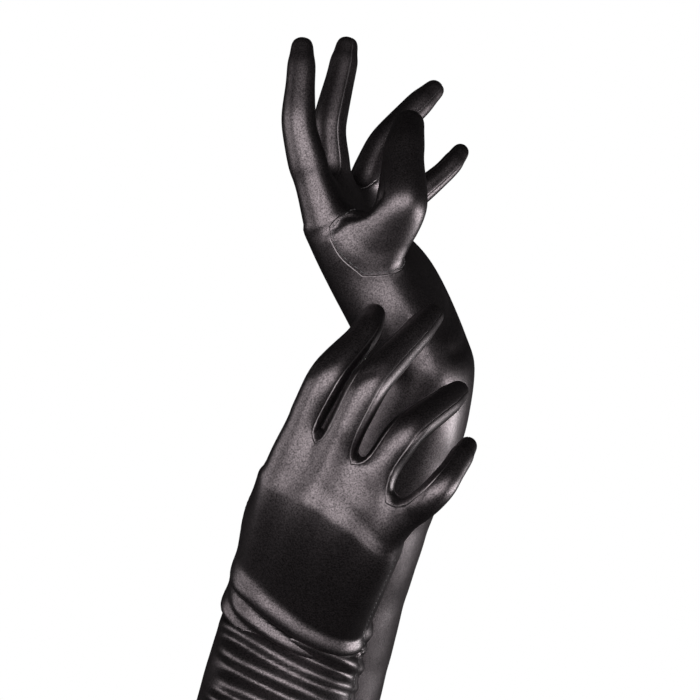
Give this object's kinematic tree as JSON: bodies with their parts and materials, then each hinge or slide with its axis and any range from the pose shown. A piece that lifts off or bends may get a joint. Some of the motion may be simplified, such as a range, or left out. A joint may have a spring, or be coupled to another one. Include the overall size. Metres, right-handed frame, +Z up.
{
  "type": "opera gloves",
  "caption": "Long black satin evening gloves in a raised pose, the left wrist bent back and held by the right hand, each with seamed fingers, a set-in thumb and a gathered sleeve.",
  "frame": {"origin": "centre of the left glove's opening, on the plane of both hems", "axes": "+Z up along the raised arms; -Y towards the viewer, who sees the back of the right hand; +X towards the palm of the left hand"},
  "size_m": [0.1554, 0.208, 0.5041],
  "materials": {
    "satin": "satin",
    "thread": "matt",
    "elastic": "matt"
  },
  "bodies": {
    "left_glove": {"left_hem_band": "satin", "left_outer_seam_thread": "thread", "left_seam_elastic": "elastic", "left_thumb_base": "satin", "left_thumb_seam_thread": "thread", "left_trank_hand": "satin", "left_trank_sleeve": "satin", "left_web_index_middle": "satin", "left_web_middle_ring": "satin", "left_web_ring_little": "satin"},
    "left_index": {"left_index_fourchette_ulnar": "satin", "left_index_trank": "satin"},
    "left_middle": {"left_middle_back": "satin", "left_middle_fourchette_radial": "satin", "left_middle_fourchette_ulnar": "satin", "left_middle_palm": "satin"},
    "left_ring": {"left_ring_back": "satin", "left_ring_fourchette_radial": "satin", "left_ring_fourchette_ulnar": "satin", "left_ring_palm": "satin"},
    "left_little": {"left_little_fourchette_radial": "satin", "left_little_trank": "satin"},
    "left_thumb": {"left_thumb_stall": "satin"},
    "right_glove": {"right_hem_band": "satin", "right_outer_seam_thread": "thread", "right_seam_elastic": "elastic", "right_thumb_base": "satin", "right_thumb_seam_thread": "thread", "right_trank_hand": "satin", "right_trank_sleeve": "satin", "right_web_index_middle": "satin", "right_web_middle_ring": "satin", "right_web_ring_little": "satin"},
    "right_index": {"right_index_fourchette_ulnar": "satin", "right_index_trank": "satin"},
    "right_middle": {"right_middle_back": "satin", "right_middle_fourchette_radial": "satin", "right_middle_fourchette_ulnar": "satin", "right_middle_palm": "satin"},
    "right_ring": {"right_ring_back": "satin", "right_ring_fourchette_radial": "satin", "right_ring_fourchette_ulnar": "satin", "right_ring_palm": "satin"},
    "right_little": {"right_little_fourchette_radial": "satin", "right_little_trank": "satin"},
    "right_thumb": {"right_thumb_stall": "satin"}
  },
  "joints": [
    {"name": "gloves_apart", "type": "slide", "parent": "left_glove", "child": "right_glove", "axis": [0, -1, 0], "range_m": [0, 0.12]},
    {"name": "left_index_flex", "type": "hinge", "parent": "left_glove", "child": "left_index", "pos_m": [0.02457, -0.09234, 0.44156], "axis": [0.2162, 0.965, 0.1485], "range_deg": [-8, 20]},
    {"name": "left_middle_flex", "type": "hinge", "parent": "left_glove", "child": "left_middle", "pos_m": [0.03323, -0.06764, 0.44333], "axis": [0.2436, 0.9671, -0.073], "range_deg": [-8, 20]},
    {"name": "left_ring_flex", "type": "hinge", "parent": "left_glove", "child": "left_ring", "pos_m": [0.04988, -0.04576, 0.43963], "axis": [0.1316, 0.9672, -0.2175], "range_deg": [-8, 20]},
    {"name": "left_little_flex", "type": "hinge", "parent": "left_glove", "child": "left_little", "pos_m": [0.06492, -0.02751, 0.42562], "axis": [-0.1647, 0.9483, -0.2712], "range_deg": [-8, 20]},
    {"name": "left_thumb_flex", "type": "hinge", "parent": "left_glove", "child": "left_thumb", "pos_m": [0.066, -0.098, 0.424], "axis": [-0.9006, -0.3528, 0.2539], "range_deg": [-12, 6]},
    {"name": "right_index_flex", "type": "hinge", "parent": "right_glove", "child": "right_index", "pos_m": [0.02412, -0.13998, 0.33522], "axis": [-0.8885, 0.2001, 0.413], "range_deg": [-25, 0]},
    {"name": "right_middle_flex", "type": "hinge", "parent": "right_glove", "child": "right_middle", "pos_m": [0.04116, -0.14667, 0.32887], "axis": [-0.8754, 0.197, 0.4414], "range_deg": [-25, 0]},
    {"name": "right_ring_flex", "type": "hinge", "parent": "right_glove", "child": "right_ring", "pos_m": [0.05709, -0.14625, 0.31532], "axis": [-0.8067, 0.1921, 0.5589], "range_deg": [-25, 0]},
    {"name": "right_little_flex", "type": "hinge", "parent": "right_glove", "child": "right_little", "pos_m": [0.0693, -0.15365, 0.29695], "axis": [-0.7232, 0.0041, 0.6907], "range_deg": [-20, 5]},
    {"name": "right_thumb_flex", "type": "hinge", "parent": "right_glove", "child": "right_thumb", "pos_m": [0.014, -0.08, 0.296], "axis": [0.164, 0.7924, -0.5875], "range_deg": [-20, 0]}
  ]
}
